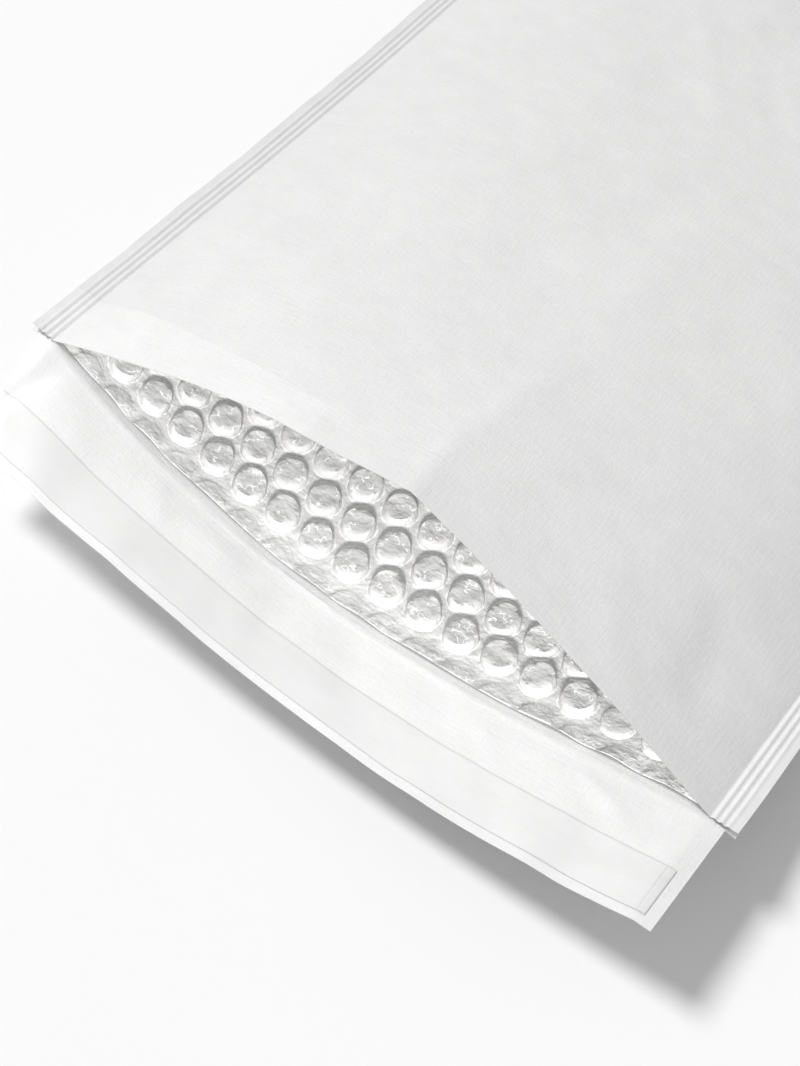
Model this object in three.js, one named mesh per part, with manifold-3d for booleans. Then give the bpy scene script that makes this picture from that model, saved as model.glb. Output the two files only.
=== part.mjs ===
// A bubble-lined padded envelope lying on its back with its mouth open. Millimetres, +Z up.
// X runs across the mouth, Y from the flap towards the bottom fold.
import * as THREE from "three";
import { mergeVertices } from "three/addons/utils/BufferGeometryUtils.js";
import Module from "manifold-3d";

const wasm = await Module();
wasm.setup();

// Flat sizes of the mailer
const WIDTH = 240; // across both side seams
const LENGTH = 350; // mouth to bottom fold
const FLAP_LENGTH = 33;
const FLAP_INSET = 3; // the flap is narrower than the seamed body on each side
const SEAM_WIDTH = 8.2;
const PAPER = 0.4;
const FILM = 3.6; // bubble film, over the bubbles
const CLEARANCE = 0.3; // between pieces that lie on each other

// How the body lies: the mouth end curls up off the table and leans slightly to one side
const CURL_ANGLE = 0.215; // slope of the body at the mouth, radians
const CURL_LENGTH = 239; // how far in the curl reaches
const SEAM_LIFT = 2.8; // height of the flat part of the seams
const TWIST = 4.2; // the left seam is this much high at the mouth, the right one this much low
const TWIST_LENGTH = 200;
const MOUTH_SHIFT = 4; // the mouth sits a little to the right of the body
const MOUTH_PINCH = 2.5; // each seam is drawn in at the open mouth
const BODY_PINCH = 1; // and a little along the rest of the body
const PINCH_LENGTH = 70;

// How far the mouth is open, measured from the plane of the seams
const RIDGE_HEIGHT = 29.3; // crest of the front panel's edge
const RIDGE_AT = 0.063; // where the crest is, from -1 at the left seam to 1 at the right
const RIDGE_SET_BACK = 6.4; // the crest of the edge leans this far back
const LIP_CLEAR = 8.9; // height of the middle of the lower lip over the table
const LIP_BULGE = 3.2; // the middle of the lower lip stands forward
const BELLY_START = 100; // from here on the back panel lies on the table
const BELLY_PRESS = 0.8; // how much of the belly's curve the table flattens
const CLOSED_THICKNESS = 9.4; // both padded walls together
const CLOSING_CURVE = 1.3; // above 1, the walls come together sooner
const RIDGE_LENGTH = 150; // the crease behind the crest fades out over this length
const EDGE_LEAN_LENGTH = 60; // both edges lean back or forward over this much of the body

// How round the panels' sections are
const ARCH_SQUARENESS = 2.6; // the front panel, well inside
const LEFT_SLOPE_BOW = [0.57, 0.45]; // how the slope left of the crease bows out
const RIGHT_SLOPE_BOW = [0.39, 0.17];
const BELLY_SQUARENESS = 5; // the back panel lying flat on the table
const LIP_ROUNDNESS = 2; // and at the mouth
const LIP_SKEW = [0.35, 0.16]; // the lip hangs lower on the left than on the right
const LIP_CURVE = 1.6; // how soon the lip comes down to the belly

// The crimped seam
const SEAM_THICKNESS = 1.1;
const CRIMPS = 3;
const CRIMP_PITCH = 2;
const CRIMP_DEPTH = 0.22;

// The bottom fold
const FOLD_LENGTH = 8; // the body thins to its folded edge over this length
const EDGE_THICKNESS = 0.9;

// The liner's own edges
const LINER_SET_BACK = 1.5; // behind the paper's edge at the mouth
const POCKET_END = 337;
const LINER_END = 342;
const HOLLOW_END = 343.5; // where the two papers meet
const HOLLOW_REACH = 0.997; // the hollow's half width, as a share of the pocket's
const LINER_REACH = 0.972; // the same for the liner at the mouth
const LINER_NARROWING = 0.045; // and how much less it is inside
const NARROWING_LENGTH = 200;
const FILM_SIDE = 0.025; // film between the liner's hollow and its side edge
const FILM_GAP = 0.7; // least gap between the two walls of film
const RUN_OUT = 3; // the hollows are run out past the mouth, so that they cut right through

// The self-seal strip on the flap
const STRIP_START = 16.6; // from the lip
const STRIP_END = 30.5;
const GLUE_MARGIN = 2.5; // the glue is narrower than the strip on each side
const STRIP_SIDE_GAP = 3.5;
const STRIP_THICKNESS = 0.25;

// How the flap lies: its left corner hangs down and is drawn in towards the middle
const FLAP_DROOP = [-7.7, -9.7, 12.6];
const CORNER_IN = 4.1;
const CORNER_SHARPNESS = 4;
const CORNER_CURVE = 1.5;
const FLAP_ROOT = 4; // the flap's root is buried this far inside the back panel's paper
const ROOT_INSET = 0.12; // under each face of that paper
const FLAP_SKIN = 0.02;

const clamp = THREE.MathUtils.clamp;

// The middle line of the body, bent upwards at the mouth end: place and slope at a distance v
// from the mouth, measured along the body. The flap is at negative v.
const bendRadius = CURL_LENGTH / CURL_ANGLE;
const mouthLift = SEAM_LIFT + bendRadius * (1 - Math.cos(CURL_ANGLE));

function spine(v) {
  if (v < 0) {
    return { y: v * Math.cos(CURL_ANGLE), z: mouthLift - v * Math.sin(CURL_ANGLE), slope: CURL_ANGLE };
  }
  const bent = Math.min(v, CURL_LENGTH);
  const slope = CURL_ANGLE * (1 - bent / CURL_LENGTH);
  return {
    y: bendRadius * (Math.sin(CURL_ANGLE) - Math.sin(slope)) + v - bent,
    z: mouthLift - bendRadius * (Math.cos(slope) - Math.cos(CURL_ANGLE)),
    slope,
  };
}

// A point at x across, v along and h off the plane of the seams
function place(x, v, h) {
  const at = spine(v);
  const tilted = h - (TWIST * x / (WIDTH / 2)) * Math.max(0, 1 - v / TWIST_LENGTH);
  return [x, at.y + tilted * Math.sin(at.slope), at.z + tilted * Math.cos(at.slope)];
}

// The height h at which a point rests on the table
function tableHeight(x, v) {
  const at = spine(v);
  return -at.z / Math.cos(at.slope) + (TWIST * x / (WIDTH / 2)) * Math.max(0, 1 - v / TWIST_LENGTH);
}

function seamEdge(v, side) {
  const fade = Math.exp(-Math.max(v, 0) / PINCH_LENGTH);
  return side * (WIDTH / 2 - BODY_PINCH - MOUTH_PINCH * fade) + MOUTH_SHIFT * fade;
}

// t runs from -1 at the left seam's inner edge to 1 at the right one's
function acrossPocket(t, v) {
  const left = seamEdge(v, -1) + SEAM_WIDTH;
  const right = seamEdge(v, 1) - SEAM_WIDTH;
  return (left + right) / 2 + (t * (right - left)) / 2;
}

// The body's thickness goes to nothing at the bottom fold
function foldTaper(v) {
  const into = clamp((v - (LENGTH - FOLD_LENGTH)) / FOLD_LENGTH, 0, 1);
  return Math.sqrt(1 - into * into);
}

// How far the middle of the back panel hangs under the plane of the seams
function backHang(v) {
  return spine(v).z - LIP_CLEAR * Math.pow(clamp(1 - v / BELLY_START, 0, 1), LIP_CURVE);
}

function backDepth(v) {
  const press = BELLY_PRESS * THREE.MathUtils.smoothstep(v, BELLY_START / 2, BELLY_START);
  return (backHang(v) + press) * foldTaper(v);
}

// How far the middle of the front panel stands over the plane of the seams
function frontHeight(v) {
  const mouthOpening = RIDGE_HEIGHT + backHang(0);
  const closing = Math.pow(clamp(1 - v / POCKET_END, 0, 1), CLOSING_CURVE);
  const opening = CLOSED_THICKNESS + (mouthOpening - CLOSED_THICKNESS) * closing;
  return (opening - backHang(v)) * foldTaper(v);
}

// The back panel's section: lopsided and round at the mouth, flat-bottomed inside
function backProfile(t, v) {
  const mouth = clamp(1 - v / BELLY_START, 0, 1);
  const squareness = BELLY_SQUARENESS + (LIP_ROUNDNESS - BELLY_SQUARENESS) * mouth;
  const skew = LIP_SKEW[0] * t + LIP_SKEW[1] * t * t;
  return (1 - Math.pow(Math.abs(t), squareness)) * (1 - mouth * skew);
}

// One side of the crease, s running from 0 at the seam to 1 at the crease
function bowedSlope(s, bow) {
  return s * (1 + bow[0] * (1 - s) + bow[1] * (1 - s) ** 2);
}

// The front panel's section: two curved slopes that meet in a crease at the mouth, a plain arch inside
function frontProfile(t, v) {
  const left = clamp((1 + t) / (1 + RIDGE_AT), 0, 1);
  const right = clamp((1 - t) / (1 - RIDGE_AT), 0, 1);
  const ridge = t < RIDGE_AT ? bowedSlope(left, LEFT_SLOPE_BOW) : bowedSlope(right, RIGHT_SLOPE_BOW);
  const arch = 1 - Math.pow(Math.abs(t), ARCH_SQUARENESS);
  const creased = Math.pow(clamp(1 - v / RIDGE_LENGTH, 0, 1), 2);
  return arch + (ridge - arch) * creased;
}

// Outer faces of the paper, as heights off the plane of the seams
const seamHalf = SEAM_THICKNESS / 2;

function frontFace(t, v) {
  return seamHalf + (frontHeight(v) - seamHalf * foldTaper(v)) * frontProfile(t, v);
}

function backFace(t, v) {
  const free = -seamHalf - (backDepth(v) - seamHalf * foldTaper(v)) * backProfile(t, v);
  return Math.max(free, tableHeight(acrossPocket(t, v), v));
}

// How far the two panels' edges at the mouth lie from a straight line across
function frontSetBack(t, v) {
  return RIDGE_SET_BACK * frontProfile(t, 0) ** 2 * clamp(1 - v / EDGE_LEAN_LENGTH, 0, 1);
}

function backSetBack(t, v) {
  return -LIP_BULGE * (1 - t * t) * clamp(1 - v / EDGE_LEAN_LENGTH, 0, 1);
}

const frontPoint = (t, v, h) => place(acrossPocket(t, v), v + frontSetBack(t, v), h);
const backPoint = (t, v, h) => place(acrossPocket(t, v), v + backSetBack(t, v), h);

// The crimped seam, from its inner edge outwards: 0 to 1 across its width
function crimp(u) {
  const from = u * SEAM_WIDTH;
  const crimped = from <= CRIMPS * CRIMP_PITCH;
  return crimped ? -CRIMP_DEPTH * Math.sin((2 * Math.PI * from) / CRIMP_PITCH) : 0;
}

const crimpSteps = [];
for (let k = 1; k <= 4 * CRIMPS; k += 2) crimpSteps.push((k * CRIMP_PITCH) / 4 / SEAM_WIDTH);
crimpSteps.push((CRIMPS * CRIMP_PITCH) / SEAM_WIDTH, 1);

// Half the seam's thickness, a little less at the bottom fold
function seamHeight(v) {
  return seamHalf * Math.max(foldTaper(v), EDGE_THICKNESS / SEAM_THICKNESS);
}

function seamPoint(u, v, side, face) {
  const inner = seamEdge(v, side) - side * SEAM_WIDTH;
  return place(inner + side * u * SEAM_WIDTH, v, face * seamHeight(v) + crimp(u));
}

// Stations across the pocket and along the body
const ACROSS = [
  -1, -0.94, -0.85, -0.73, -0.58, -0.42, -0.26, -0.1,
  RIDGE_AT,
  0.2, 0.34, 0.48, 0.62, 0.75, 0.86, 0.94, 1,
];
const ALONG = [
  0, 7, 16, 28, 44, 66, 94, 128, 168, 212, 258, 300, 325,
  POCKET_END, LINER_END, 346, 348.8, LENGTH,
];
const FLAP_OUT = [0, 0.12, 0.32, 0.55, 0.78, 1]; // shares of the flap's length
const BAND_STEPS = 3;

// A closed solid through rings of points. Each ring lists its upper side left to right, then its
// lower side right to left, with as many points on each.
function loft(rings) {
  const count = rings[0].length;
  const half = count / 2;
  const positions = rings.flat(2);
  const triangles = [];
  const quad = (a, b, c, d) => triangles.push(a, b, c, a, c, d);
  for (let r = 0; r + 1 < rings.length; r++) {
    for (let k = 0; k < count; k++) {
      const next = (k + 1) % count;
      quad(r * count + k, r * count + next, (r + 1) * count + next, (r + 1) * count + k);
    }
  }
  const last = (rings.length - 1) * count;
  for (let k = 0; k + 1 < half; k++) {
    quad(k, count - 1 - k, count - 2 - k, k + 1);
    quad(last + k, last + k + 1, last + count - 2 - k, last + count - 1 - k);
  }
  const geometry = new THREE.BufferGeometry();
  geometry.setAttribute("position", new THREE.Float32BufferAttribute(positions, 3));
  geometry.setIndex(triangles);
  return geometry;
}

function toSolid(geometry) {
  const merged = mergeVertices(geometry, 1e-5);
  const vertProperties = new Float32Array(merged.attributes.position.array);
  const triVerts = new Uint32Array(merged.index.array);
  return new wasm.Manifold(new wasm.Mesh({ numProp: 3, vertProperties, triVerts }));
}

function toGeometry(solid) {
  const mesh = solid.getMesh();
  const geometry = new THREE.BufferGeometry();
  geometry.setAttribute("position", new THREE.BufferAttribute(mesh.vertProperties, 3));
  geometry.setIndex(new THREE.BufferAttribute(mesh.triVerts, 1));
  geometry.computeVertexNormals();
  return geometry;
}

function pocketRing(v, across, upper, lower) {
  return [
    ...across.map((t) => frontPoint(t, v, upper(t, v))),
    ...across.toReversed().map((t) => backPoint(t, v, lower(t, v))),
  ];
}

// The paper body, seams included, as it looks from outside
function bodyRing(v) {
  const outwards = crimpSteps;
  const inwards = crimpSteps.toReversed();
  const atSeam = (t) => Math.abs(t) === 1;
  const upper = (t) => (atSeam(t) ? seamHeight(v) : frontFace(t, v));
  const lower = (t) => (atSeam(t) ? -seamHeight(v) : backFace(t, v));
  return [
    ...inwards.map((u) => seamPoint(u, v, -1, 1)),
    ...ACROSS.map((t) => frontPoint(t, v, upper(t))),
    ...outwards.map((u) => seamPoint(u, v, 1, 1)),
    ...inwards.map((u) => seamPoint(u, v, 1, -1)),
    ...ACROSS.toReversed().map((t) => backPoint(t, v, lower(t))),
    ...outwards.map((u) => seamPoint(u, v, -1, -1)),
  ];
}

// The hollow inside the paper
const paperInside = {
  upper: (t, v) => frontFace(t, Math.max(v, 0)) - PAPER,
  lower: (t, v) => backFace(t, Math.max(v, 0)) + PAPER,
};

function runOut(ring) {
  return ring.map(([x, y, z]) => [x, y - RUN_OUT, z + RUN_OUT * Math.tan(CURL_ANGLE)]);
}

function paperHollow() {
  const across = ACROSS.map((t) => t * HOLLOW_REACH);
  const stations = [...ALONG.filter((v) => v <= LINER_END), HOLLOW_END];
  const rings = stations.map((v) => pocketRing(v, across, paperInside.upper, paperInside.lower));
  return toSolid(loft([runOut(rings[0]), ...rings]));
}

// The flap is the back panel's paper carried on past the mouth. Its t passes 1 at the sides,
// because it is wider than the pocket.
const flapSpan = (WIDTH / 2 - FLAP_INSET) / (WIDTH / 2 - SEAM_WIDTH);

function flapDroop(t) {
  return FLAP_DROOP[0] * t + FLAP_DROOP[1] * t ** 2 + FLAP_DROOP[2] * t ** 3;
}

// A point on the flap, w out from the lip. A negative w is inside the mouth, in the back panel.
function flapPoint(t, w, h) {
  const inPocket = clamp(t, -1, 1);
  const inside = Math.max(-w, 0);
  const out = Math.max(w, 0) / FLAP_LENGTH;
  const left = seamEdge(inside, -1) + FLAP_INSET;
  const right = seamEdge(inside, 1) - FLAP_INSET;
  const share = t / flapSpan;
  const drawnIn = t < 0 ? CORNER_IN * share ** CORNER_SHARPNESS * out ** CORNER_CURVE : 0;
  const x = (left + right) / 2 + (share * (right - left)) / 2 + drawnIn;
  const height = backFace(inPocket, inside) + flapDroop(t) * out + h;
  return place(x, backSetBack(inPocket, inside) - w, height);
}

const FLAP_ACROSS = [-flapSpan, ...ACROSS, flapSpan];

function sheetRing(across, w, low, high) {
  return [
    ...across.map((t) => flapPoint(t, w, high)),
    ...across.toReversed().map((t) => flapPoint(t, w, low)),
  ];
}

function flapSolid() {
  const root = [-FLAP_ROOT, -FLAP_ROOT / 4].map((w) => {
    return sheetRing(FLAP_ACROSS, w, ROOT_INSET, PAPER - ROOT_INSET);
  });
  const free = FLAP_OUT.map((share) => {
    return sheetRing(FLAP_ACROSS, share * FLAP_LENGTH, FLAP_SKIN, PAPER - FLAP_SKIN);
  });
  return toSolid(loft([...root, ...free].toReversed()));
}

function outerPaper() {
  const body = toSolid(loft(ALONG.map(bodyRing)));
  return toGeometry(body.subtract(paperHollow()).add(flapSolid()));
}

// The bubble film lies against the paper all round and is squeezed thin towards the seams
const linerOutside = {
  upper: (t, v) => paperInside.upper(t, v) - CLEARANCE,
  lower: (t, v) => paperInside.lower(t, v) + CLEARANCE,
};

function filmThickness(t, v) {
  const room = linerOutside.upper(t, v) - linerOutside.lower(t, v);
  return Math.min(FILM, (room - FILM_GAP) / 2);
}

const linerInside = {
  upper: (t, v) => linerOutside.upper(t, v) - filmThickness(t, v),
  lower: (t, v) => linerOutside.lower(t, v) + filmThickness(t, v),
};

// Half the liner's width at v, as a share of the pocket's, and the same for the hollow in it
const linerReach = (v) => LINER_REACH - LINER_NARROWING * clamp(v / NARROWING_LENGTH, 0, 1);
const hollowReach = (v) => linerReach(v) - FILM_SIDE;

function bubbleLiner() {
  const stations = [LINER_SET_BACK, ...ALONG.filter((v) => v > LINER_SET_BACK && v <= POCKET_END)];
  const middle = ACROSS.slice(2, -2);
  const ring = (v, reach, faces) => {
    return pocketRing(v, [-reach(v), ...middle, reach(v)], faces.upper, faces.lower);
  };
  const film = [...stations, LINER_END].map((v) => ring(v, linerReach, linerOutside));
  const hollow = stations.map((v) => ring(v, hollowReach, linerInside));
  return toGeometry(toSolid(loft(film)).subtract(toSolid(loft([runOut(hollow[0]), ...hollow]))));
}

// The strip and the glue under it are flat bands on the flap's inner face
function flapBand(from, to, height, sideGap) {
  const reach = (flapSpan * (WIDTH / 2 - FLAP_INSET - sideGap)) / (WIDTH / 2 - FLAP_INSET);
  const across = [-reach, ...ACROSS.filter((t) => Math.abs(t) < reach), reach];
  const rings = [];
  for (let k = 0; k <= BAND_STEPS; k++) {
    const w = to + ((from - to) * k) / BAND_STEPS;
    rings.push(sheetRing(across, w, PAPER + height, PAPER + height + STRIP_THICKNESS));
  }
  return toGeometry(toSolid(loft(rings)));
}

function sheetMaterial(color, roughness) {
  return new THREE.MeshStandardMaterial({ color, roughness, metalness: 0, side: THREE.DoubleSide });
}

function adhesiveBand() {
  const from = STRIP_START + GLUE_MARGIN;
  const to = STRIP_END - GLUE_MARGIN;
  return flapBand(from, to, CLEARANCE, STRIP_SIDE_GAP + GLUE_MARGIN);
}

function releaseStrip() {
  return flapBand(STRIP_START, STRIP_END, 2 * CLEARANCE + STRIP_THICKNESS, STRIP_SIDE_GAP);
}

const pieces = [
  ["outer_paper", outerPaper(), sheetMaterial(0xf0f0ef, 0.65)],
  ["bubble_liner", bubbleLiner(), sheetMaterial(0xdcdcda, 0.2)],
  ["adhesive_band", adhesiveBand(), sheetMaterial(0xe9e6dc, 0.35)],
  ["release_strip", releaseStrip(), sheetMaterial(0xe8e8e8, 0.5)],
];

const envelope = new THREE.Group();
for (const [name, geometry, material] of pieces) {
  const mesh = new THREE.Mesh(geometry, material);
  mesh.name = name;
  envelope.add(mesh);
}

// The origin is on the table, under the middle of the envelope
const extent = new THREE.Box3().setFromObject(envelope);
const middle = extent.getCenter(new THREE.Vector3());
envelope.position.set(-middle.x, -middle.y, -extent.min.z);

export default envelope;
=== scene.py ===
"""A bubble-lined padded envelope that lies open on a table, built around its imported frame."""

import math
import random

import bpy
import numpy as np
from mathutils import Matrix, Vector


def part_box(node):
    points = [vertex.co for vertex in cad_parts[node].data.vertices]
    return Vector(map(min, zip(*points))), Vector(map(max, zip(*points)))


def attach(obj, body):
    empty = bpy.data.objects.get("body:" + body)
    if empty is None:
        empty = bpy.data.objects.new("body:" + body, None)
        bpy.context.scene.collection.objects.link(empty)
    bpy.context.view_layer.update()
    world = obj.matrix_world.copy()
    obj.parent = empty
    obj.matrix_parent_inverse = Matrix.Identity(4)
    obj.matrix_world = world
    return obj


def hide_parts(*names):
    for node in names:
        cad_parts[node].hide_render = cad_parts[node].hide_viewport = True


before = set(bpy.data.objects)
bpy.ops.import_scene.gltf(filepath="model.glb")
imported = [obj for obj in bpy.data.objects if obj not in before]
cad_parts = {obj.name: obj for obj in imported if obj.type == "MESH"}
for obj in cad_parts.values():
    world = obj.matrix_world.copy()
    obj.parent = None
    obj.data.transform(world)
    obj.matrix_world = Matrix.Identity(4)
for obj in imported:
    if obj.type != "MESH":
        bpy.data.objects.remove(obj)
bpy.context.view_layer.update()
MM = 0.001

# The mailer's own sizes, in millimetres
WIDTH = 240
LENGTH = 350
FLAP_LENGTH = 33
FLAP_INSET = 3
SEAM_WIDTH = 8.2
PAPER = 0.22
WEB = 0.12
WEB_GAP = 0.4
BUBBLE_HEIGHT = 3.2

# How the body lies
CURL_ANGLE = 0.215
CURL_LENGTH = 239
SEAM_LIFT = 2.8
TWIST = 4.2
TWIST_LENGTH = 200
MOUTH_SHIFT = 4
MOUTH_PINCH = 2.5
BODY_PINCH = 1
PINCH_LENGTH = 70
BEND_RADIUS = CURL_LENGTH / CURL_ANGLE
MOUTH_LIFT = SEAM_LIFT + BEND_RADIUS * (1 - math.cos(CURL_ANGLE))

# How far the mouth is open
RIDGE_HEIGHT = 29.3
RIDGE_AT = 0.063
RIDGE_SET_BACK = 6.4
LIP_CLEAR = 8.9
LIP_BULGE = 3.2
BELLY_START = 100
BELLY_PRESS = 0.8
CLOSED_THICKNESS = 9.4
CLOSING_CURVE = 1.3
RIDGE_LENGTH = 150
EDGE_LEAN_LENGTH = 60
POCKET_END = 337
ARCH_SQUARENESS = 2.6
LEFT_SLOPE_BOW = (0.57, 0.45)
RIGHT_SLOPE_BOW = (0.39, 0.17)
BELLY_SQUARENESS = 5
LIP_ROUNDNESS = 2
LIP_SKEW = (0.35, 0.16)
LIP_CURVE = 1.6

# The seams and the bottom fold
SEAM_HALF = 0.35
CRIMPS = 3
CRIMP_PITCH = 2
CRIMP_DEPTH = 0.24
FOLD_LENGTH = 8

# The flap and the seal on it
FLAP_DROOP = (-7.7, -9.7, 12.6)
CORNER_IN = 4.1
CORNER_SHARPNESS = 4
CORNER_CURVE = 1.5
FLAP_SPAN = (WIDTH / 2 - FLAP_INSET) / (WIDTH / 2 - SEAM_WIDTH)
STRIP_START = 16.6
STRIP_END = 30.5
STRIP_GAPS = (0.6, 3.5)
GLUE_MARGIN = 2.5
GLUE_GAPS = (4, 6)
GLUE_AT = 0.09
GLUE_THICKNESS = 0.03
STRIP_AT = 0.16
STRIP_THICKNESS = 0.07
HEM_WIDTH = 19.5
HEM_NARROWING = 6

# The film's bubbles
PITCH = 12.35
FILM_WEB = 0.28
FILM_TOP = 0.15
FILM_WALL = 0.42


def smooth_step(value, start, end):
    share = np.clip((value - start) / (end - start), 0, 1)
    return share * share * (3 - 2 * share)


# ---------------------------------------------------------------- how the envelope lies

def spine(v):
    """The body's middle line at v from the mouth: its y, z and slope. The flap has negative v."""
    bent = np.clip(v, 0, CURL_LENGTH)
    ahead = np.minimum(v, 0)
    slope = CURL_ANGLE * (1 - bent / CURL_LENGTH)
    y = BEND_RADIUS * (math.sin(CURL_ANGLE) - np.sin(slope)) + np.maximum(v, 0) - bent
    z = MOUTH_LIFT - BEND_RADIUS * (np.cos(slope) - math.cos(CURL_ANGLE))
    return y + ahead * math.cos(CURL_ANGLE), z - ahead * math.sin(CURL_ANGLE), slope


def lean(x, v):
    return TWIST * x / (WIDTH / 2) * np.maximum(0, 1 - v / TWIST_LENGTH)


def place(x, v, h):
    """A point at x across, v along and h off the plane of the seams."""
    y, z, slope = spine(v)
    tilted = h - lean(x, v)
    return np.stack([x + 0 * tilted, y + tilted * np.sin(slope), z + tilted * np.cos(slope)], -1)


def table_height(x, v):
    """The h at which a point rests on the table."""
    y, z, slope = spine(v)
    return -z / np.cos(slope) + lean(x, v)


def seam_edge(v, side):
    fade = np.exp(-np.maximum(v, 0) / PINCH_LENGTH)
    return side * (WIDTH / 2 - BODY_PINCH - MOUTH_PINCH * fade) + MOUTH_SHIFT * fade


def across_pocket(t, v):
    left = seam_edge(v, -1) + SEAM_WIDTH
    right = seam_edge(v, 1) - SEAM_WIDTH
    return (left + right) / 2 + t * (right - left) / 2


def fold_taper(v):
    into = np.clip((v - (LENGTH - FOLD_LENGTH)) / FOLD_LENGTH, 0, 1)
    return np.sqrt(1 - into * into)


def back_hang(v):
    return spine(v)[1] - LIP_CLEAR * np.clip(1 - v / BELLY_START, 0, 1) ** LIP_CURVE


def back_depth(v):
    press = BELLY_PRESS * smooth_step(v, BELLY_START / 2, BELLY_START)
    return (back_hang(v) + press) * fold_taper(v)


def front_height(v):
    mouth_opening = RIDGE_HEIGHT + back_hang(0)
    closing = np.clip(1 - v / POCKET_END, 0, 1) ** CLOSING_CURVE
    opening = CLOSED_THICKNESS + (mouth_opening - CLOSED_THICKNESS) * closing
    return (opening - back_hang(v)) * fold_taper(v)


def back_profile(t, v):
    mouth = np.clip(1 - v / BELLY_START, 0, 1)
    squareness = BELLY_SQUARENESS + (LIP_ROUNDNESS - BELLY_SQUARENESS) * mouth
    skew = LIP_SKEW[0] * t + LIP_SKEW[1] * t * t
    return (1 - np.abs(t) ** squareness) * (1 - mouth * skew)


def bowed_slope(s, bow):
    return s * (1 + bow[0] * (1 - s) + bow[1] * (1 - s) ** 2)


def front_profile(t, v):
    left = bowed_slope(np.clip((1 + t) / (1 + RIDGE_AT), 0, 1), LEFT_SLOPE_BOW)
    right = bowed_slope(np.clip((1 - t) / (1 - RIDGE_AT), 0, 1), RIGHT_SLOPE_BOW)
    ridge = np.where(t < RIDGE_AT, left, right)
    arch = 1 - np.abs(t) ** ARCH_SQUARENESS
    creased = np.clip(1 - v / RIDGE_LENGTH, 0, 1) ** 2
    return arch + (ridge - arch) * creased


def front_face(t, v):
    return SEAM_HALF + (front_height(v) - SEAM_HALF * fold_taper(v)) * front_profile(t, v)


def back_face(t, v):
    free = -SEAM_HALF - (back_depth(v) - SEAM_HALF * fold_taper(v)) * back_profile(t, v)
    return np.maximum(free, table_height(across_pocket(t, v), v))


def front_set_back(t, v):
    return RIDGE_SET_BACK * front_profile(t, 0) ** 2 * np.clip(1 - v / EDGE_LEAN_LENGTH, 0, 1)


def back_set_back(t, v):
    return -LIP_BULGE * (1 - t * t) * np.clip(1 - v / EDGE_LEAN_LENGTH, 0, 1)


def flap_point(t, w, h):
    """A point on the flap, w out from the lip."""
    in_pocket = np.clip(t, -1, 1)
    out = w / FLAP_LENGTH
    left = seam_edge(0, -1) + FLAP_INSET
    right = seam_edge(0, 1) - FLAP_INSET
    share = t / FLAP_SPAN
    drawn_in = np.where(t < 0, CORNER_IN * np.abs(share) ** CORNER_SHARPNESS * out ** CORNER_CURVE, 0)
    x = (left + right) / 2 + share * (right - left) / 2 + drawn_in
    droop = FLAP_DROOP[0] * t + FLAP_DROOP[1] * t ** 2 + FLAP_DROOP[2] * t ** 3
    height = back_face(in_pocket, 0) + droop * out + h
    return place(x, back_set_back(in_pocket, 0) - w, height)


# ---------------------------------------------------------------- where that is in the frame

def frame_offset():
    """From the mouth line's middle on the table to the frame's origin, from the paper's box."""
    low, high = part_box("outer_paper")
    along = np.linspace(0, LENGTH, 200)
    raw_low = seam_edge(along, -1).min()
    raw_high = seam_edge(along, 1).max()
    fold_y = float(spine(np.array(float(LENGTH)))[0])
    x = (low[0] + high[0]) / 2 - (raw_low + raw_high) / 2 * MM
    return np.array([x, high[1] - fold_y * MM, low[2]])


OFFSET = frame_offset()


def in_frame(points):
    return points * MM + OFFSET


# ---------------------------------------------------------------- creases and unevenness

def waves(seed, count, shortest, longest):
    """Plane waves of random direction and phase, for a surface that is nowhere quite flat."""
    draw = random.Random(seed)
    chosen = []
    for _ in range(count):
        length = draw.uniform(shortest, longest)
        turn = draw.uniform(0, math.pi)
        chosen.append((math.cos(turn) / length, math.sin(turn) / length, draw.uniform(0, 1)))
    return chosen


def uneven(chosen, x, v):
    total = 0 * (x + v)
    for along_x, along_v, phase in chosen:
        total = total + np.sin(2 * math.pi * (x * along_x + v * along_v + phase))
    return total / math.sqrt(len(chosen))


def crease(x, v, start, end, height, width):
    """A soft fold between two points: a ridge, or with a negative height a valley."""
    run = np.subtract(end, start)
    length = math.hypot(*run)
    along = ((x - start[0]) * run[0] + (v - start[1]) * run[1]) / length
    off = ((x - start[0]) * run[1] - (v - start[1]) * run[0]) / length
    fade = smooth_step(along, -0.15 * length, 0.25 * length)
    fade = fade * (1 - smooth_step(along, 0.75 * length, 1.15 * length))
    return height * fade * np.exp(-np.abs(off / width) ** 1.5)


def creases(listed, x, v):
    total = 0 * (x + v)
    for start, end, height, width in listed:
        total = total + crease(x, v, start, end, height, width)
    return total


BROAD = waves(3, 10, 45, 110)
MIDDLE = waves(8, 16, 22, 48)
FINE = waves(5, 14, 10, 22)

# Creases: where each starts and ends (x, v), its height and its width
FRONT_CREASES = (
    ((10, -4), (6, 30), 0.55, 2.2),
    ((6, 30), (15, 80), 0.35, 4),
    ((-102, 168), (-60, 158), -0.5, 3.5),
    ((-60, 158), (-38, 148), 0.4, 4),
    ((-98, 57), (-74, 54), -0.45, 4),
    ((-100, 96), (-78, 88), 0.4, 4),
    ((-37, 226), (-8, 190), 0.5, 5),
    ((-12, 224), (18, 186), -0.4, 5),
    ((-24, 96), (10, 112), -0.3, 5),
    ((84, 50), (96, 14), -0.9, 7),
    ((56, 40), (72, 8), 0.35, 5),
    ((30, 70), (70, 96), 0.35, 6),
)
FLAP_CREASES = (
    ((-98, 0), (-107, 20), -1.5, 2.6),
    ((48, 1), (62, 15), 0.35, 1.6),
    ((80, 4), (98, 12), 0.55, 2.2),
    ((92, 14), (110, 2), -0.5, 2),
    ((-60, 2), (-48, 16), 0.3, 3),
)


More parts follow.
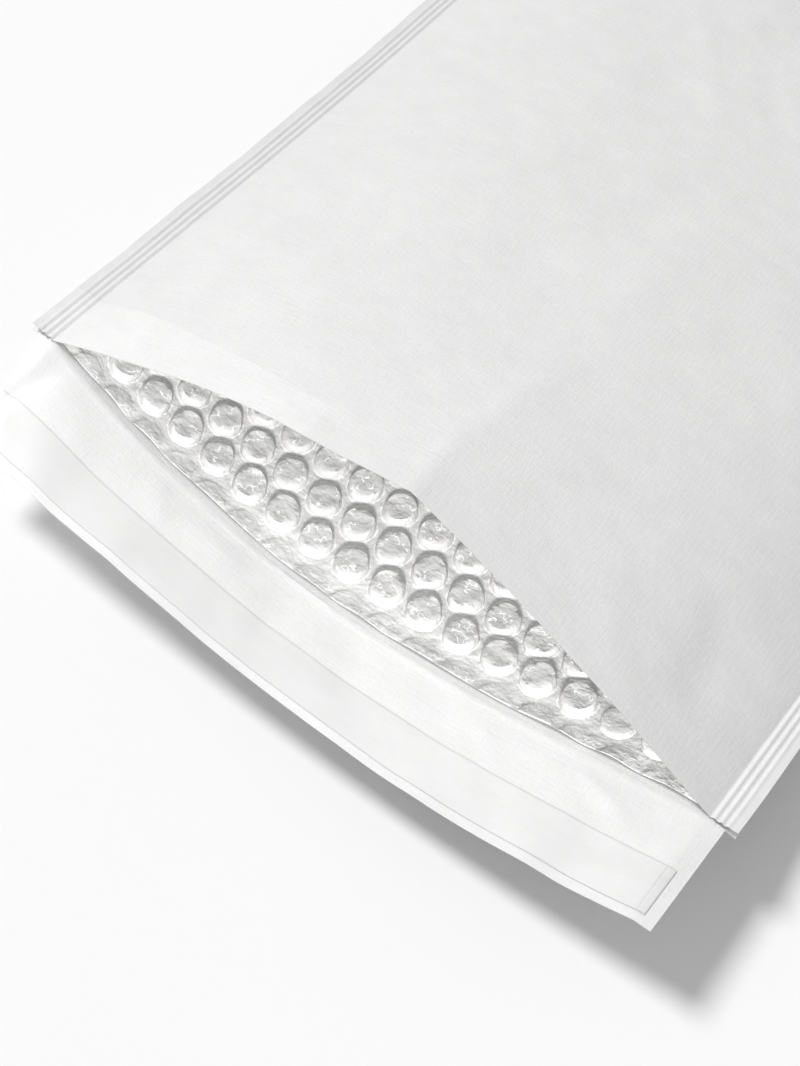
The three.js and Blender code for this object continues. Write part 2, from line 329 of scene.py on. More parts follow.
def front_relief(t, v):
    """How far creases and unevenness lift the front panel."""
    x = across_pocket(t, v)
    held = 1 - np.abs(t) ** 8
    relief = 0.3 * uneven(BROAD, x, v) + 0.12 * uneven(MIDDLE, x, v) + 0.035 * uneven(FINE, x, v)
    return (relief + creases(FRONT_CREASES, x, v)) * held * fold_taper(v)


def back_relief(t, v):
    x = across_pocket(t, v)
    hanging = 1 - smooth_step(v, 0, BELLY_START * 0.8)
    return 0.15 * uneven(BROAD, x, v) * hanging * (1 - np.abs(t) ** 6)


def flap_relief(t, w):
    x = across_pocket(t, 0)
    wavy = 0.2 * uneven(BROAD, x, w) + 0.22 * uneven(MIDDLE, x, w) + 0.09 * uneven(FINE, x, w)
    return (wavy + creases(FLAP_CREASES, x, w)) * np.minimum(w / 8, 1)


# ---------------------------------------------------------------- mesh helpers

def pick(piece):
    bpy.ops.object.select_all(action="DESELECT")
    piece.select_set(True)
    bpy.context.view_layer.objects.active = piece


def grid(name, rows, columns):
    """A flat grid to be shaped, with its rows and columns as they are listed in its mesh."""
    bpy.ops.object.select_all(action="DESELECT")
    bpy.ops.mesh.primitive_grid_add(x_subdivisions=columns - 1, y_subdivisions=rows - 1, size=1)
    piece = bpy.context.object
    piece.name = name
    piece.data.name = name
    return piece


def shape(piece, points):
    """Moves a piece's vertices to points, given in millimetres in the order of the mesh."""
    placed = in_frame(points.reshape(-1, 3))
    piece.data.vertices.foreach_set("co", placed.ravel())
    piece.data.update()


def lay_out(piece, flat):
    """The piece's UV map holds where each point is on the flat sheet, in metres."""
    corners = np.empty(len(piece.data.loops), dtype=np.int32)
    piece.data.loops.foreach_get("vertex_index", corners)
    layout = (flat.reshape(-1, 2) * MM)[corners]
    piece.data.uv_layers.active.data.foreach_set("uv", layout.astype(np.float32).ravel())


def thicken(piece, thickness, offset):
    pick(piece)
    wall = piece.modifiers.new("thickness", "SOLIDIFY")
    wall.thickness = thickness * MM
    wall.offset = offset
    wall.use_rim = True
    bpy.ops.object.modifier_apply(modifier=wall.name)


def smooth(piece, degrees):
    pick(piece)
    bpy.ops.object.shade_smooth_by_angle(angle=math.radians(degrees))


def face_out(piece):
    pick(piece)
    bpy.ops.object.mode_set(mode="EDIT")
    bpy.ops.mesh.select_all(action="SELECT")
    bpy.ops.mesh.normals_make_consistent(inside=False)
    bpy.ops.object.mode_set(mode="OBJECT")


def mark(piece, name, values):
    """Keeps one number a vertex for the material to read."""
    attribute = piece.data.attributes.new(name, "FLOAT", "POINT")
    attribute.data.foreach_set("value", np.asarray(values, dtype=np.float32).ravel())


# ---------------------------------------------------------------- the paper

SEAM_STEPS = 26
POCKET_STEPS = 92
SEAM_SHARES = np.linspace(0, 1, SEAM_STEPS)
POCKET_SHARES = np.linspace(-1, 1, POCKET_STEPS)
FLAP_SHARES = 1 + SEAM_SHARES * (FLAP_SPAN - 1)
FLAP_ROWS = np.linspace(FLAP_LENGTH, 0.6, 33)


def row_across(left, middle, right):
    """One row of the sheet, from its left edge to its right one."""
    return np.concatenate([left[::-1][:-1], middle, right[1:]])


def crimp(u):
    start = u * SEAM_WIDTH
    depth = CRIMP_DEPTH * np.sin(2 * math.pi * start / CRIMP_PITCH)
    return np.where(start <= CRIMPS * CRIMP_PITCH, -depth, 0)


def seam_points(v, side, face):
    """One row of a seam's ply, from the pocket outwards."""
    u = SEAM_SHARES
    ruffle = 0.12 * np.sin(v / 3.1 + side) + 0.1 * np.sin(v / 7.7)
    apart = 1.1 * np.exp(-v / 5) * u
    x = seam_edge(v, side) - side * SEAM_WIDTH * (1 - u) + side * 0.15 * u * np.sin(v / 9)
    height = face * (SEAM_HALF + apart) * max(float(fold_taper(v)), 0.4) + crimp(u)
    return place(x, v + 0 * u, height + ruffle * u * u)


def panel_point(t, v, face):
    """A point on the outside of the front panel (face 1) or the back one (face -1)."""
    if face > 0:
        height = front_face(t, v) + front_relief(t, v)
        return place(across_pocket(t, v), v + front_set_back(t, v), height)
    height = back_face(t, v) + back_relief(t, v)
    return place(across_pocket(t, v), v + back_set_back(t, v), height)


def panel_row(v, face):
    v = float(v)
    middle = panel_point(POCKET_SHARES, v, face)
    return row_across(seam_points(v, -1, face), middle, seam_points(v, 1, face))


def flap_row(w):
    """One row across the flap, w out from the lip, with as many points as a panel's row."""
    t = row_across(-FLAP_SHARES, POCKET_SHARES, FLAP_SHARES)
    fold = 0.45 * math.exp(-(w / 1.6) ** 2)
    return flap_point(t, w, fold + flap_relief(t, w))


def sheet_rows():
    """The one sheet that the mailer is folded from: (distance from the front edge, its row)."""
    front_end = 2 * LENGTH
    rows = [(front_end + w, flap_row(w)) for w in FLAP_ROWS]
    back = np.concatenate([np.linspace(0, 60, 30), np.linspace(65, LENGTH - 0.4, 58)])
    rows += [(front_end - v, panel_row(v, -1)) for v in back]
    front = np.concatenate([np.linspace(LENGTH - 0.4, 122, 96), np.linspace(120, 0, 88)])
    rows += [(v, panel_row(v, 1)) for v in front]
    return rows


def paper_shell():
    rows = sheet_rows()
    points = np.array([row for _, row in rows])
    piece = grid("paper_shell", points.shape[0], points.shape[1])
    along = np.array([distance for distance, _ in rows])
    flat_x = row_across(
        -WIDTH / 2 + SEAM_WIDTH * (1 - SEAM_SHARES),
        POCKET_SHARES * (WIDTH / 2 - SEAM_WIDTH),
        WIDTH / 2 - SEAM_WIDTH * (1 - SEAM_SHARES),
    )
    lay_out(piece, np.stack(np.broadcast_arrays(flat_x[None, :], along[:, None]), -1))
    shape(piece, points)
    face_out(piece)
    thicken(piece, PAPER, -1)
    smooth(piece, 50)
    return piece


# ---------------------------------------------------------------- the bubble film

FILM_WIDTH = 220
FILM_START = 1.5
FILM_END = 342
FILM_LENGTH = 2 * FILM_END
FIRST_ROW = 12.48
FIRST_BUBBLE = -94.13
ROW_STEP = PITCH * math.sqrt(3) / 2
HEXAGON = [(PITCH / 2 if k % 2 == 0 else PITCH / math.sqrt(3)) for k in range(12)]
FOLD_TURN = 5
FILM_REACH = 0.985

# Which bubbles an edge cuts, which are seen close up and which are crushed
CUT_MARGIN = 7.2
CUT_FULL = 0.15
SEEN_BACK = 95
SEEN_FRONT = 60
LIP_ROW_END = 8
CRUSHED_FROM = 72
CRUSHED_TO = 40


def arc_table(face):
    """Share of the way across a wall's section, -1 to 1, at every t, for stations along the body."""
    along = np.linspace(0, LENGTH, 141)[:, None]
    t = np.linspace(-1, 1, 321)[None, :]
    height = front_face(t, along) if face > 0 else back_face(t, along)
    steps = np.hypot(np.diff(across_pocket(t, along), axis=1), np.diff(height, axis=1))
    arc = np.concatenate([np.zeros((len(along), 1)), np.cumsum(steps, axis=1)], axis=1)
    return 2 * arc / arc[:, -1:] - 1


def across_at(table, share, v):
    """The t that lies at this share of the way across the section at v."""
    t = np.linspace(-1, 1, table.shape[1])
    station = np.clip(v / LENGTH, 0, 1) * (len(table) - 1)
    lower = np.minimum(station.astype(int), len(table) - 2)
    found = np.zeros_like(share)
    for k in np.unique(lower):
        here = lower == k
        near = np.interp(share[here], table[k], t)
        far = np.interp(share[here], table[k + 1], t)
        found[here] = near + (far - near) * (station[here] - k)
    return found


def wall_surface(t, v, face):
    """The inner face of a paper wall and the direction into the pocket."""
    step_v = 0.4
    step_t = step_v / (FILM_WIDTH / 2)
    point = panel_point(t, v, face)
    right = panel_point(np.clip(t + step_t, -1, 1), v, face)
    left = panel_point(np.clip(t - step_t, -1, 1), v, face)
    over = right - left
    along = panel_point(t, v + step_v, face) - panel_point(t, v - step_v, face)
    inward = np.cross(over, along) * -face
    inward /= np.linalg.norm(inward, axis=-1, keepdims=True)
    return point + inward * PAPER, inward


def room_between(t, v):
    walls = front_face(t, v) + front_relief(t, v) - back_face(t, v) - back_relief(t, v)
    return walls - 2 * PAPER


def film_places(s, y, rise):
    """Where a point of the flat film goes: s across it, y along it, rise over its web."""
    share = FILM_REACH * s / (FILM_WIDTH / 2)
    turned = np.clip((y - (FILM_END - FOLD_TURN)) / (2 * FOLD_TURN), 0, 1) * math.pi
    v = np.minimum(y, FILM_LENGTH - y)
    v = np.minimum(v, FILM_END - FOLD_TURN) + FOLD_TURN * 0.8 * np.sin(turned)
    back_t = across_at(arc_table(-1), share, v)
    front_t = across_at(arc_table(1), share, v)
    room = room_between(np.where(turned > math.pi / 2, front_t, back_t), v)
    fit = np.clip((room / 2 - 0.05) / (WEB_GAP + WEB), 0.3, 1)
    full = np.clip((room / 2 - 2 * WEB_GAP) / BUBBLE_HEIGHT, 0, 1)
    lift = fit * (WEB_GAP + WEB + np.minimum(rise, 0)) + full * np.maximum(rise, 0)
    lower, up = wall_surface(back_t, v, -1)
    upper, down = wall_surface(front_t, v, 1)
    over = (0.5 - 0.5 * np.cos(turned))[:, None]
    inward = up * (1 - over) + down * over
    inward[:, 1] -= np.sin(turned)
    return lower * (1 - over) + upper * over + inward * lift[:, None]


def bubble_cell(rings, segments):
    """A six-sided piece of film with one bubble. rings are (radius, share of its height, shade)."""
    points = []
    for k in range(12):
        turn = 2 * math.pi * k / 12
        points.append((HEXAGON[k] * math.cos(turn), HEXAGON[k] * math.sin(turn), 0, 0))
    for radius, share, shade in rings:
        for k in range(segments):
            turn = 2 * math.pi * k / segments
            points.append((radius * math.cos(turn), radius * math.sin(turn), share, shade))
    points.append((0, 0, 1, 0))
    faces = []
    ratio = segments // 12
    for k in range(12):
        ring = [12 + (k * ratio + j) % segments for j in range(ratio + 1)]
        faces.append([k, (k + 1) % 12, *ring[::-1]])
    for r in range(len(rings) - 1):
        start = 12 + r * segments
        for k in range(segments):
            after = (k + 1) % segments
            faces.append([start + k, start + after, start + segments + after, start + segments + k])
    last = 12 + (len(rings) - 1) * segments
    for k in range(segments):
        faces.append([last + k, last + (k + 1) % segments, len(points) - 1])
    return np.array(points), faces


FINE_CELL = bubble_cell(((5.1, 0, 0.2), (4.75, 0.72, 1), (4.35, 0.97, 0.7), (2.5, 1, 0)), 24)
PLAIN_CELL = bubble_cell(((5.1, 0, 0.2), (4.5, 0.95, 0.6)), 12)


def film_cells():
    """Each bubble's place on the flat film, its cell, how full it is and if an edge cuts it."""
    draw = random.Random(21)
    half = FILM_WIDTH / 2
    first = -1
    last = int((FILM_LENGTH - FIRST_ROW) / ROW_STEP) + 1
    cells = []
    for j in range(first, last + 1):
        y = FIRST_ROW + j * ROW_STEP
        for i in range(-2, 18):
            x = FIRST_BUBBLE + (i + (j % 2) / 2) * PITCH
            from_end = min(y, FILM_LENGTH - y) - FILM_START
            cut = abs(x) > half - PITCH / 2 or from_end < CUT_MARGIN
            near = y < SEEN_BACK or y > FILM_LENGTH - SEEN_FRONT
            full = draw.uniform(0.86, 1)
            if abs(x) > half + PITCH / 2:
                continue
            if y < LIP_ROW_END:
                full = draw.uniform(0.08, 0.2)
            elif cut:
                full = CUT_FULL
            if x > CRUSHED_FROM and y < CRUSHED_TO:
                full *= draw.uniform(0.45, 0.8)
            cells.append((x, y, FINE_CELL if near else PLAIN_CELL, full, cut))
    return cells


def crumple(points, x, y, full, draw):
    """Dents and tilts one bubble's top, and makes it a little out of round."""
    moved = points.copy()
    size = 1 + draw.uniform(-0.03, 0.02)
    tilt_x = draw.uniform(-0.05, 0.05)
    tilt_y = draw.uniform(-0.05, 0.05)
    phase = draw.uniform(0, 6.3)
    dent = draw.uniform(0.05, 0.3)
    turn = np.arctan2(moved[:, 1], moved[:, 0])
    inner = points[:, 2] > 0
    radius = np.hypot(moved[:, 0], moved[:, 1])
    wobble = 1 + 0.02 * np.sin(3 * turn + phase)
    moved[:, :2] *= np.where(inner, size * wobble, 1)[:, None]
    top = np.where(radius < 3.5, 1, 0) * inner
    lift = tilt_x * moved[:, 0] + tilt_y * moved[:, 1]
    fold = dent * np.sin(2 * turn + phase) * top - dent * top * draw.uniform(0, 1)
    moved[:, 2] = points[:, 2] * BUBBLE_HEIGHT * full + inner * (lift + fold) * full
    moved[:, 0] += x
    moved[:, 1] += y
    return moved


def flat_film():
    """The flat film: bubbles on its upper side, a plain web under them."""
    draw = random.Random(34)
    points, shades, faces = [], [], []

    def add(block, shade, block_faces):
        start = len(points)
        points.extend(block)
        shades.extend(shade)
        faces.extend([start + k for k in face] for face in block_faces)

    for x, y, (cell, cell_faces), full, cut in film_cells():
        top = crumple(cell, x, y, full, draw)
        add(top[:, :3].tolist(), (cell[:, 3] * full).tolist(), cell_faces)
        under = top[:, :3] * (1, 1, 0) - (0, 0, WEB)
        if cut:
            add(under.tolist(), [0] * len(under), [face[::-1] for face in cell_faces])
        else:
            add(under[:12].tolist(), [0] * 12, [list(range(11, -1, -1))])
    return np.array(points), shades, faces


def trim_film(piece):
    """Cuts the flat film to size and closes its edges."""
    half = FILM_WIDTH / 2
    borders = (
        ((-half, 0, 0), (-1, 0, 0)),
        ((half, 0, 0), (1, 0, 0)),
        ((0, FILM_START, 0), (0, -1, 0)),
        ((0, FILM_LENGTH - FILM_START, 0), (0, 1, 0)),
    )
    pick(piece)
    bpy.ops.object.mode_set(mode="EDIT")
    bpy.ops.mesh.select_mode(type="VERT")
    bpy.ops.mesh.select_all(action="SELECT")
    bpy.ops.mesh.remove_doubles(threshold=0.005)
    for place_on, out in borders:
        bpy.ops.mesh.select_all(action="SELECT")
        bpy.ops.mesh.bisect(plane_co=place_on, plane_no=out, clear_outer=True, threshold=0.0001)
    bpy.ops.object.mode_set(mode="OBJECT")
    points = np.empty(len(piece.data.vertices) * 3)
    piece.data.vertices.foreach_get("co", points)
    on_web = points.reshape(-1, 3)[:, 2] > -WEB / 2
    close_edges(piece, on_web)


def close_edges(piece, upper):
    """Joins the upper side's outline to the lower side's."""
    counts = {}
    for face in piece.data.polygons:
        for edge in face.edge_keys:
            counts[edge] = counts.get(edge, 0) + 1
    outline = {edge for edge, count in counts.items() if count == 1 and upper[edge[0]]}
    bpy.ops.object.mode_set(mode="EDIT")
    bpy.ops.mesh.select_all(action="DESELECT")
    bpy.ops.mesh.select_mode(type="EDGE")
    bpy.ops.object.mode_set(mode="OBJECT")
    for edge in piece.data.edges:
        edge.select = edge.key in outline
    bpy.ops.object.mode_set(mode="EDIT")
    bpy.ops.mesh.extrude_region_move()
    bpy.ops.object.mode_set(mode="OBJECT")
    for vertex in piece.data.vertices:
        if vertex.select:
            vertex.co.z = -WEB
    bpy.ops.object.mode_set(mode="EDIT")
    bpy.ops.mesh.select_mode(type="VERT")
    bpy.ops.mesh.select_all(action="SELECT")
    bpy.ops.mesh.remove_doubles(threshold=0.01)
    bpy.ops.mesh.normals_make_consistent(inside=False)
    bpy.ops.object.mode_set(mode="OBJECT")


def bubble_film():
    points, shades, faces = flat_film()
    mesh = bpy.data.meshes.new("bubble_film")
    mesh.from_pydata(points.tolist(), [], faces)
    piece = bpy.data.objects.new("bubble_film", mesh)
    bpy.context.scene.collection.objects.link(piece)
    # How grey and opaque the finish makes each part of a bubble: partly haze, partly painted shade, with
    # painted highlight at the foot ring.
    mark(piece, "wall", shades)
    trim_film(piece)
    flat = np.empty(len(piece.data.vertices) * 3)
    piece.data.vertices.foreach_get("co", flat)
    flat = flat.reshape(-1, 3)
    mark(piece, "rise", np.clip(flat[:, 2] / BUBBLE_HEIGHT, 0, 1))
    # The crushed band by the lip, which the finish makes greyer as painted shade and more opaque.
    mark(piece, "rim", 1 - smooth_step(flat[:, 1], 3, 6.5))
    wavy = 0.8 + 0.45 * np.sin(flat[:, 0] / 4.1 + 2 * np.sin(flat[:, 0] / 13))
    curl = np.exp(-((flat[:, 1] - FILM_START) / 3.2) ** 2) * wavy
    shape(piece, film_places(flat[:, 0], flat[:, 1], flat[:, 2] + curl))
    smooth(piece, 60)
    return piece


# ---------------------------------------------------------------- the seal on the flap

def flap_reach(side_gap):
    """The t of a line this far in from the flap's side edge."""
    return FLAP_SPAN * (1 - side_gap / (WIDTH / 2 - FLAP_INSET))


def flap_band(name, span, gaps, height, thickness):
    """A thin band along the flap's inner face, with a gap at its left and right ends."""
    start, end = span
    row = row_across(-FLAP_SHARES, POCKET_SHARES, FLAP_SHARES)
    left = -flap_reach(gaps[0])
    right = flap_reach(gaps[1])
    t = np.array([left, *row[(row > left + 0.002) & (row < right - 0.002)], right])
    out = np.array([end, *FLAP_ROWS[(FLAP_ROWS < end - 0.2) & (FLAP_ROWS > start + 0.2)], start])
    points = []
    for w in out:
        points.append(flap_point(t, w, PAPER + height + flap_relief(t, w)))
    points = np.array(points)
    rows = len(out)
    piece = grid(name, rows, len(t))
    flat = np.meshgrid(t * (WIDTH / 2 - SEAM_WIDTH), out)
    lay_out(piece, np.stack(flat, -1))
    end_gap = (t[-1] - t) * (WIDTH / 2 - SEAM_WIDTH)
    mark(piece, "end_gap", np.tile(end_gap, (rows, 1)))
    shape(piece, points)
    face_out(piece)
    thicken(piece, thickness, 1)
    face_out(piece)
    smooth(piece, 50)
    return piece


# ---------------------------------------------------------------- light, floor and camera

CAMERA_AT = (0.1515, -0.3359, 0.4609)
CAMERA_RIGHT = (0.7892, 0.6140, 0.0098)
CAMERA_UP = (-0.5387, 0.6846, 0.4911)
LENS = 64.17
ROOM_LIGHT = 0.44
KEY_LIGHT = 2.2
MOUTH_LIGHT = 0.2
POCKET_LIGHT = 12.0
RIGHT_LIGHT = 0.5
KEY_SOFTNESS = 0.26
KEY_TRAVEL = (0.737, -0.045, -1)


def camera():
    data = bpy.data.cameras.new("camera")
    data.lens = LENS
    data.sensor_width = 36
    data.sensor_fit = "AUTO"
    data.clip_start = 0.01
    eye = bpy.data.objects.new("camera", data)
    bpy.context.scene.collection.objects.link(eye)
    right = Vector(CAMERA_RIGHT).normalized()
    up = Vector(CAMERA_UP).normalized()
    back = right.cross(up).normalized()
    turn = Matrix((right, back.cross(right), back)).transposed()
    eye.matrix_world = Matrix.Translation(CAMERA_AT) @ turn.to_4x4()
    bpy.context.scene.camera = eye


def lamp(name, position, target, size, power):
    data = bpy.data.lights.new(name, "AREA")
    data.shape = "DISK"
    data.size = size
    data.energy = power
    light = bpy.data.objects.new(name, data)
    bpy.context.scene.collection.objects.link(light)
    light.location = position
    light.rotation_euler = (Vector(target) - Vector(position)).to_track_quat("-Z", "Y").to_euler()
    return light


def light_only(light, pieces):
    """Screens a lamp off from all but these pieces."""
    lit = bpy.data.collections.new(light.name + "_lit")
    for piece in pieces:
        lit.objects.link(piece)
    light.light_linking.receiver_collection = lit


def studio(ground, paper_pieces, film):
    """A bright white room, a large soft lamp from the left and small fills by the mouth."""
    world = bpy.data.worlds.new("studio")
    bpy.context.scene.world = world
    world.use_nodes = True
    world.node_tree.nodes["Background"].inputs["Color"].default_value = (1, 1, 1, 1)
    world.node_tree.nodes["Background"].inputs["Strength"].default_value = ROOM_LIGHT
    data = bpy.data.lights.new("key", "SUN")
    data.energy = KEY_LIGHT
    data.angle = KEY_SOFTNESS
    key = bpy.data.objects.new("key", data)
    bpy.context.scene.collection.objects.link(key)
    key.rotation_euler = Vector(KEY_TRAVEL).to_track_quat("-Z", "Y").to_euler()
    light_only(key, [ground, *paper_pieces])
    mouth_fill = lamp("mouth_fill", (-0.05, -0.3, 0.22), (-0.02, -0.16, 0.01), 0.2, MOUTH_LIGHT)
    light_only(mouth_fill, paper_pieces)
    right_fill = lamp("right_fill", (0.65, -0.25, 0.45), (0.05, -0.08, 0.02), 0.4, RIGHT_LIGHT)
    light_only(right_fill, paper_pieces)
    pocket_fill = lamp("pocket_fill", (0.32, -0.62, 0.5), (0, -0.14, 0.02), 0.14, POCKET_LIGHT)
    light_only(pocket_fill, [film])
    bpy.context.scene.view_settings.view_transform = "Standard"


def floor(finish):
    bpy.ops.object.select_all(action="DESELECT")
    bpy.ops.mesh.primitive_plane_add(size=30, location=(0, 0, 0))
    plane = bpy.context.object
    plane.name = "floor"
    plane.data.materials.append(finish)
    return plane


# ---------------------------------------------------------------- finishes

class Signal:
    """A socket that a value comes out of, which can be reckoned with as if it were a number."""

    def __init__(self, finish, socket):
        self.finish = finish
        self.socket = socket

    def reckon(self, operation, first, second=0.0):
        inputs = {0: first, 1: second}
        return self.finish.node("ShaderNodeMath", {"operation": operation}, inputs)

    def __add__(self, other):
        return self.reckon("ADD", self, other)

    def __radd__(self, other):
        return self.reckon("ADD", other, self)

    def __sub__(self, other):
        return self.reckon("SUBTRACT", self, other)

    def __rsub__(self, other):
        return self.reckon("SUBTRACT", other, self)

    def __mul__(self, other):
        return self.reckon("MULTIPLY", self, other)

    def __rmul__(self, other):
        return self.reckon("MULTIPLY", other, self)

    def __abs__(self):
        return self.reckon("ABSOLUTE", self)

    def least(self, other):
        return self.reckon("MINIMUM", self, other)

    def most(self, other):
        return self.reckon("MAXIMUM", self, other)

    def between(self, start, end):
        """0 below start, 1 above end and a smooth step from one to the other."""
        settings = {"interpolation_type": "SMOOTHSTEP"}
        inputs = {"Value": self, "From Min": start, "From Max": end}
        return self.finish.node("ShaderNodeMapRange", settings, inputs)


class Finish:
    """A material, and the one way that nodes are added to it."""

    def __init__(self, name):
        self.material = bpy.data.materials.new(name)
        self.material.use_nodes = True
        self.tree = self.material.node_tree
        self.tree.nodes.clear()

    def node(self, kind, settings=None, inputs=None, output=0):
        made = self.tree.nodes.new(kind)
        for name, value in (settings or {}).items():
            setattr(made, name, value)
        for name, value in (inputs or {}).items():
            socket = self.find(made.inputs, name)
            if isinstance(value, Signal):
                self.tree.links.new(value.socket, socket)
            else:
                socket.default_value = value
        if made.outputs:
            return Signal(self, self.find(made.outputs, output))

    @staticmethod
    def find(sockets, name):
        if isinstance(name, int):
            return sockets[name]
        for socket in sockets:
            if socket.identifier == name:
                return socket
        return sockets[name]

    def sheet_place(self):
        """Across and along the flat sheet in millimetres, from the piece's own UV map."""
        uv = self.node("ShaderNodeUVMap")
        return self.node("ShaderNodeMapping", {}, {"Vector": uv, "Scale": (1000, 1000, 1)})

    def object_place(self):
        """Object coordinates in millimetres."""
        at = self.node("ShaderNodeTexCoord", {}, {}, "Object")
        return self.node("ShaderNodeMapping", {}, {"Vector": at, "Scale": (1000, 1000, 1000)})

    def split(self, vector, axis):
        return self.node("ShaderNodeSeparateXYZ", {}, {"Vector": vector}, axis)

    def noise(self, place, size, detail=2.0, rough=0.5, turn=0.0):
        """Noise whose features are about size (x, y, z) millimetres across."""
        scale = tuple(1 / side for side in size)
        inputs = {"Vector": place, "Rotation": (0, 0, turn), "Scale": scale}
        turned = self.node("ShaderNodeMapping", {}, inputs)
        inputs = {"Vector": turned, "Scale": 1.0, "Detail": detail, "Roughness": rough}
        return self.node("ShaderNodeTexNoise", {}, inputs, "Fac")

    def tint(self, share, low, high):
        inputs = {"Factor_Float": share, "A_Color": (*low, 1), "B_Color": (*high, 1)}
        settings = {"data_type": "RGBA", "clamp_factor": False}
        return self.node("ShaderNodeMix", settings, inputs, "Result_Color")

    def bump(self, height, distance, strength):
        inputs = {"Height": height, "Distance": distance, "Strength": strength}
        return self.node("ShaderNodeBump", {}, inputs)

    def attribute(self, name):
        return self.node("ShaderNodeAttribute", {"attribute_name": name}, {}, "Fac")

    def surface(self, inputs):
        return self.node("ShaderNodeBsdfPrincipled", {}, inputs)

    def done(self, shader):
        self.node("ShaderNodeOutputMaterial", {}, {"Surface": shader})
        return self.material


def white_paper():
    """Bleached kraft paper: faint fibres, soft blotches, the lighter hem along the mouth, and painted
    light on the flap's inner face, lighter on its left.
    """
    finish = Finish("white_paper")
    place = finish.sheet_place()
    across = finish.split(place, "X")
    along = finish.split(place, "Y")
    blotch = finish.noise(place, (11, 8, 1), 3.0, 0.55)
    cloud = finish.noise(place, (42, 30, 1), 2.0, 0.5)
    fibre = finish.noise(place, (7, 0.9, 1), 3.0, 0.6, 0.06)
    cross_fibre = finish.noise(place, (0.9, 5, 1), 2.0, 0.6, 0.3)
    streak = fibre.between(0.56, 0.72) + 0.5 * cross_fibre.between(0.6, 0.75)
    pit = 1 - fibre.between(0.3, 0.42)
    hem_wave = 1.6 * finish.noise(place, (20, 6, 1), 2.0)
    hem_line = HEM_WIDTH - across.between(-100, -25) * HEM_NARROWING + hem_wave
    hem = (1 - (along - hem_line).between(-0.5, 0.5)) * (1 - across.between(-29, -26))
    patch = (1 - along.between(8.5, 9.5)) * across.between(-27, -25) * (1 - across.between(3, 9))
    tone = 0.5 + 0.9 * (blotch - 0.5) + 0.6 * (cloud - 0.5) + 0.36 * streak - 0.3 * pit
    tone = tone + 0.42 * hem - 0.14 * patch
    grain = finish.noise(place, (0.7, 0.5, 1), 2.0, 0.6)
    height = 0.3 * blotch + 0.4 * fibre + 0.2 * grain + 0.3 * cross_fibre
    height = height + 0.1 * hem
    crumple = finish.bump(height, 0.00045, 0.8)
    gloss = 0.5 + 0.12 * (blotch - 0.5) - 0.06 * streak
    # Painted light: the flap's inner face is made lighter in the colour over its left half, fading to a
    # touch darker near its right end.
    tone = tone + along.between(698, 702) * (1.1 - 1.2 * across.between(0, 90))
    shader = finish.surface({
        "Base Color": finish.tint(tone, (0.668, 0.666, 0.664), (0.743, 0.741, 0.739)),
        "Roughness": gloss,
        "Normal": crumple,
        "Specular IOR Level": 0.35,
    })
    return finish.done(shader)


def release_paper():
    """Smooth coated paper, with painted shade along its edges, over the glue's right end and towards its
    right end.
    """
    finish = Finish("release_paper")
    place = finish.sheet_place()
    across = finish.split(place, "X")
    along = finish.split(place, "Y")
    cloud = finish.noise(place, (26, 9, 1), 2.0)
    grain = finish.noise(place, (3, 0.8, 1), 2.0)
    middle = (STRIP_START + STRIP_END) / 2
    half = (STRIP_END - STRIP_START) / 2
    # Painted shade: thin dark lines along the strip's edges and a line about 2.5 mm in from its right
    # end, over where the glue stops; the same lines make a slight groove in the bump.
    long_edge_shade = abs(along - middle).between(half - 0.45, half - 0.25)
    side = finish.attribute("end_gap")
    short_edge_shade = 1 - side.between(0.1, 0.35)
    glue_end_shade = side.between(2.1, 2.3) * (1 - side.between(2.5, 2.8))
    edge = long_edge_shade.most(short_edge_shade).most(0.6 * glue_end_shade)
    tone = 0.55 + 0.7 * (cloud - 0.5) + 0.35 * (grain - 0.5) - 0.75 * edge
    # Painted shade: the strip is made darker towards its right end.
    tone = tone - 0.6 * across.between(20, 100)
    shader = finish.surface({
        "Base Color": finish.tint(tone, (0.662, 0.66, 0.658), (0.792, 0.79, 0.788)),
        "Roughness": 0.36 + 0.08 * cloud,
        "Normal": finish.bump(0.7 * cloud + 0.1 * grain - 0.3 * edge, 0.00018, 0.7),
    })
    return finish.done(shader)


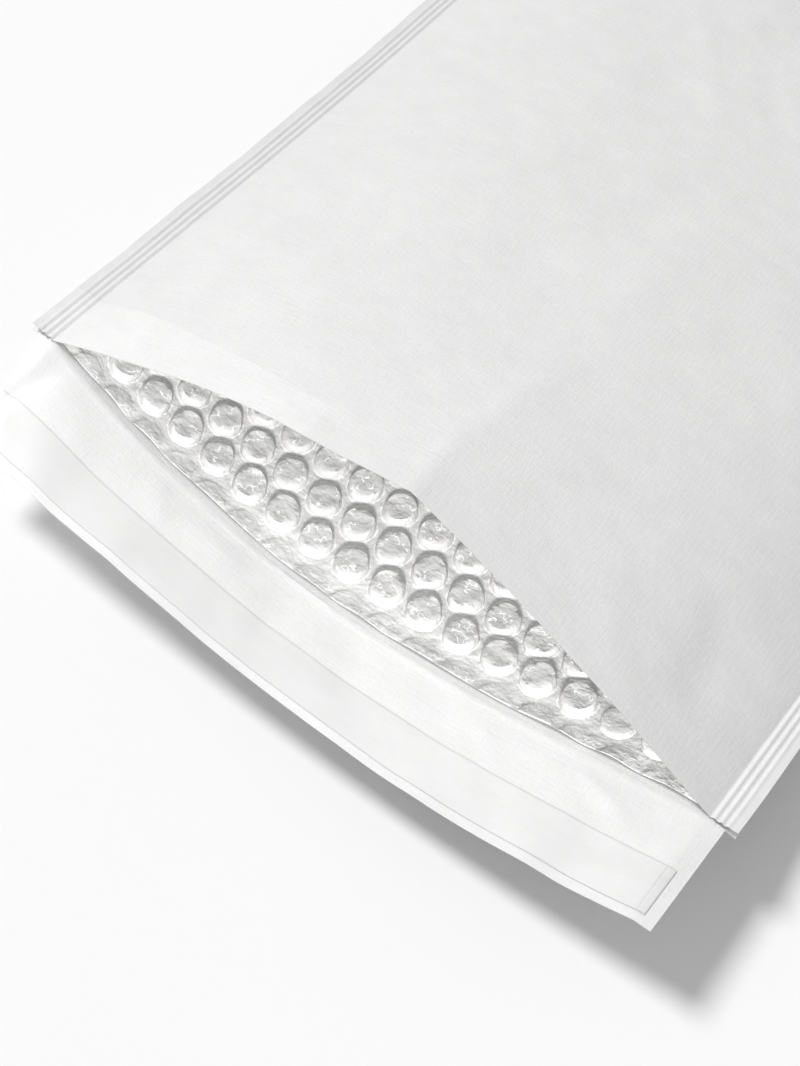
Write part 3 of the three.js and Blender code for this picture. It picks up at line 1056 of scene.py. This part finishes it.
def bubble_plastic():
    """Clear polythene: whitish where it is flat; greyer through the bubbles and along the lip, partly
    haze and partly painted shade; painted highlights round the bubbles' feet and along crumples, and
    real glints from its gloss.
    """
    finish = Finish("bubble_film")
    place = finish.object_place()
    wall = finish.attribute("wall")
    rise = finish.attribute("rise")
    rim = finish.attribute("rim")
    crumple = finish.noise(place, (4.4, 3.4, 3.4), 2.0, 0.55)
    fine = finish.noise(place, (1.1, 0.9, 0.9), 2.0, 0.6)
    haze = finish.noise(place, (9, 9, 9), 2.0)
    top = rise.between(0.35, 0.8)
    # Painted highlights: a bright outline round each bubble's foot and thin bright glint lines along the
    # crumples, made lighter and more opaque in the finish.
    foot_highlight = wall.between(0.05, 0.18) * (1 - wall.between(0.3, 0.5)) * (1 - rise.between(0.1, 0.3))
    foot_highlight = foot_highlight * (1 - rim)
    glint_lines = 1 - abs(crumple - 0.5).between(0.004, 0.03)
    glint_patches = finish.noise(place, (4, 4, 4), 1.0).between(0.44, 0.56)
    painted_glint = (glint_lines * glint_patches * (0.2 + top + rim)).least(1.0)
    bright = painted_glint.most(0.8 * foot_highlight)
    side = wall * (1 - foot_highlight) * (1 - 0.6 * rim)
    cover = FILM_WEB + FILM_TOP * top + FILM_WALL * side + 0.3 * rim + 0.08 * (haze - 0.5)
    cover = cover.most(0.75 * bright)
    # Greyer walls, tops and lip band: partly the film's haze, partly painted shade for the shading
    # inside the bubbles and under the lip; the painted highlights are taken off this tone.
    tone = 0.62 * side + 0.66 * top + 0.6 * rim + 0.5 * (crumple - 0.5) - bright
    plastic = finish.surface({
        "Base Color": finish.tint(tone.least(1.0).most(0.0), (0.88, 0.876, 0.872), (0.595, 0.59, 0.585)),
        "Roughness": 0.07 + 0.08 * haze,
        "Normal": finish.bump(crumple + 0.25 * fine, 0.0018, 0.6),
        "IOR": 1.52,
    })
    clear = finish.node("ShaderNodeBsdfTransparent")
    shader = finish.node("ShaderNodeMixShader", {}, {0: cover, 1: clear, 2: plastic})
    return finish.done(shader)


def seal_glue():
    """Tacky clear glue, slightly yellow and uneven."""
    finish = Finish("adhesive")
    place = finish.sheet_place()
    spread = finish.noise(place, (5, 1.6, 1), 3.0, 0.6)
    shader = finish.surface({
        "Base Color": finish.tint(spread, (0.70, 0.68, 0.62), (0.80, 0.78, 0.73)),
        "Roughness": 0.2 + 0.2 * spread,
        "Normal": finish.bump(spread, 0.0003, 0.6),
    })
    return finish.done(shader)


def floor_white():
    finish = Finish("floor")
    place = finish.object_place()
    dust = finish.noise(place, (60, 60, 60), 2.0)
    shader = finish.surface({
        "Base Color": finish.tint(dust, (0.955, 0.955, 0.955), (0.965, 0.965, 0.965)),
        "Roughness": 0.8,
        "Specular IOR Level": 0.2,
    })
    return finish.done(shader)


# ---------------------------------------------------------------- the whole envelope

def dress(piece, finish, node):
    piece.data.materials.clear()
    piece.data.materials.append(finish)
    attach(piece, "root")
    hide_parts(node)


camera()
ground = floor(floor_white())

shell = paper_shell()
dress(shell, white_paper(), "outer_paper")

film = bubble_film()
dress(film, bubble_plastic(), "bubble_liner")

glue_span = (STRIP_START + GLUE_MARGIN, STRIP_END - GLUE_MARGIN)
glue = flap_band("seal_glue", glue_span, GLUE_GAPS, GLUE_AT, GLUE_THICKNESS)
dress(glue, seal_glue(), "adhesive_band")

strip_span = (STRIP_START, STRIP_END)
strip = flap_band("release_strip_paper", strip_span, STRIP_GAPS, STRIP_AT, STRIP_THICKNESS)
dress(strip, release_paper(), "release_strip")

studio(ground, [shell, strip, glue], film)
